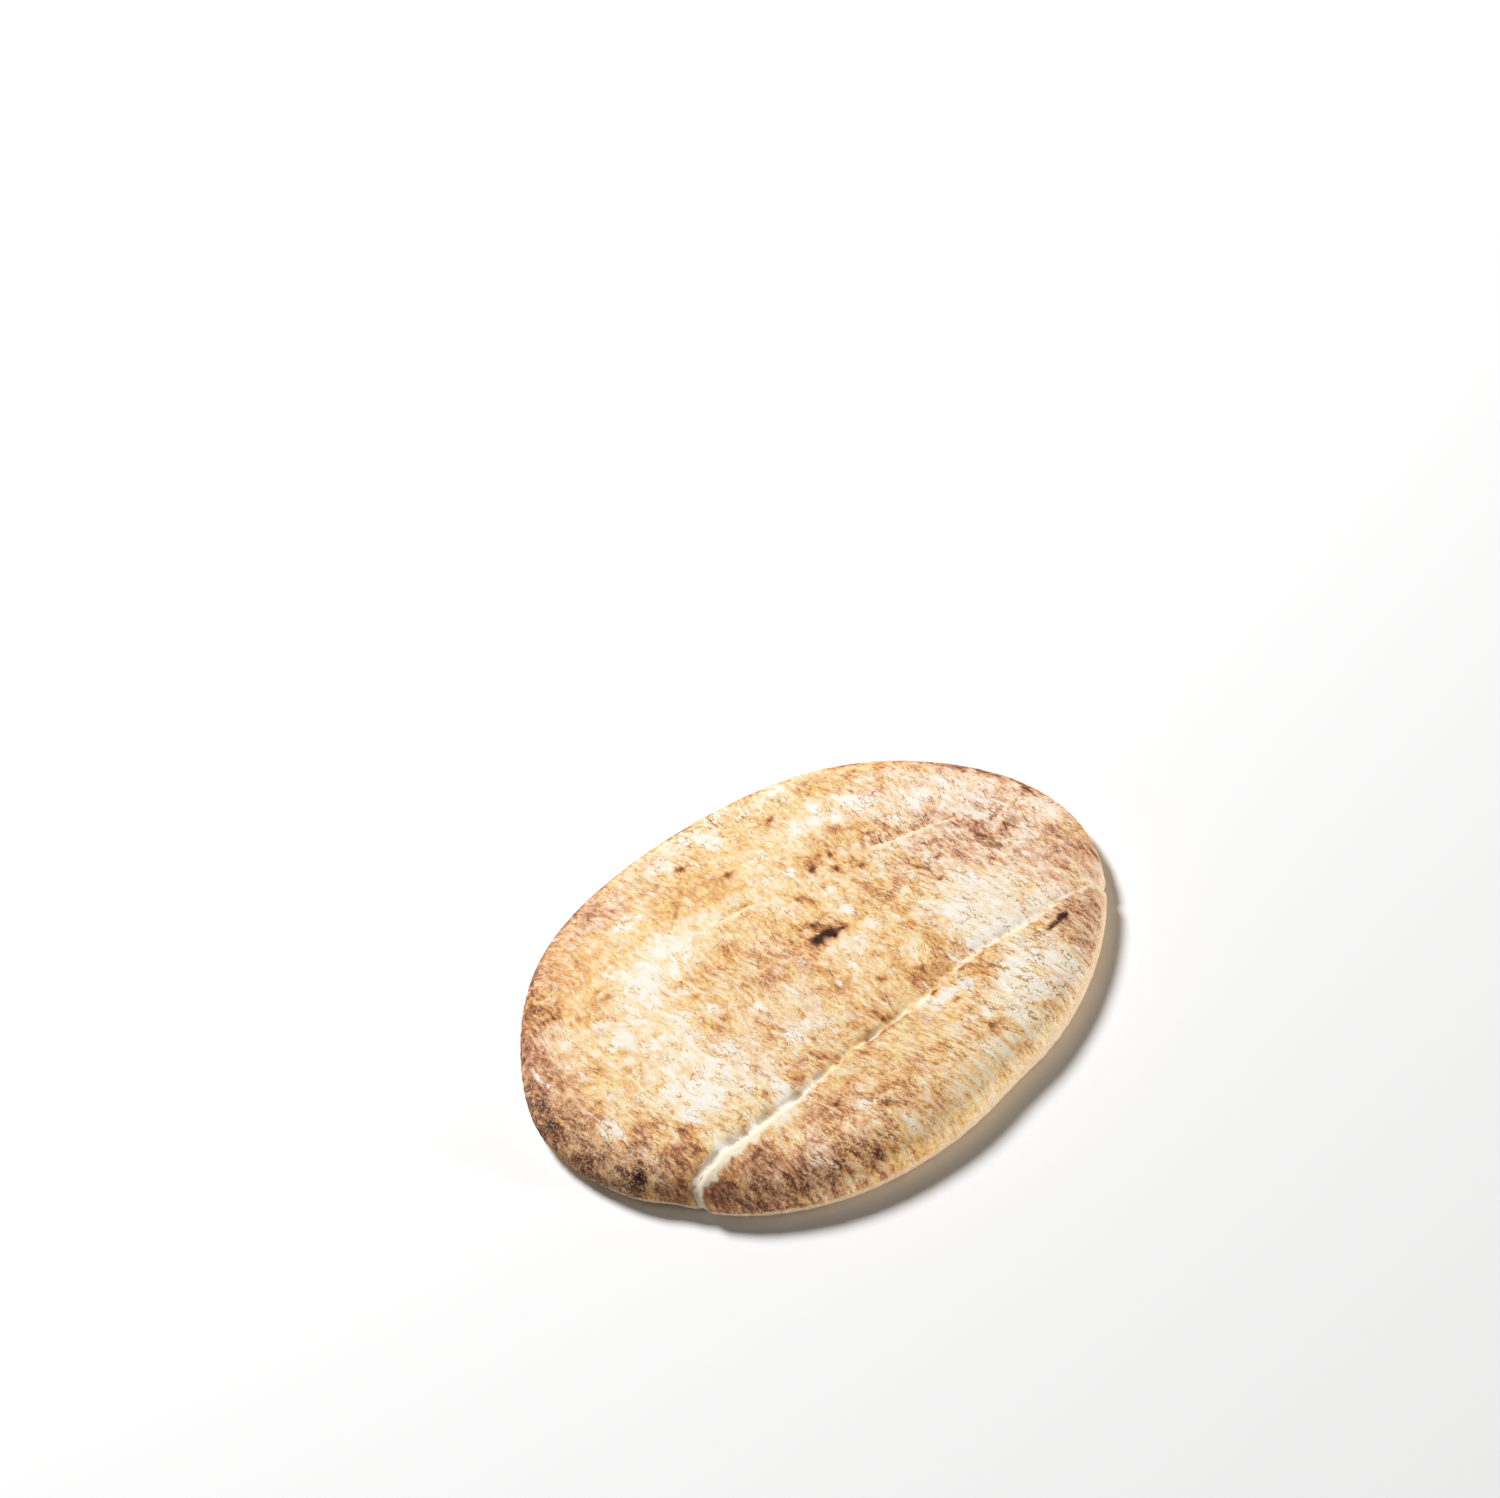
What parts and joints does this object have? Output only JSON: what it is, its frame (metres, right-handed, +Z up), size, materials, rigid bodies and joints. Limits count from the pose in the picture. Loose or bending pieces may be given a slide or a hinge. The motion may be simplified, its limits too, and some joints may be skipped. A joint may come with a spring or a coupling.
{
  "type": "greek pita bread",
  "caption": "Round flat Greek pita bread with a golden and brown crust dusted with flour, a pressed fold across one side and a round pale edge.",
  "frame": {"origin": "middle of the bread's box, on the surface that it lies on", "axes": "+Z up, through the bread's thickness; the pressed fold runs along the -Y side, roughly along X; +Y is the plain far side"},
  "size_m": [0.181, 0.18, 0.0146],
  "materials": {
    "crust": "dry baked crust, matt, golden to brown over a pale floured crumb"
  },
  "bodies": {
    "root": {"pita_bread": "crust"}
  },
  "joints": []
}
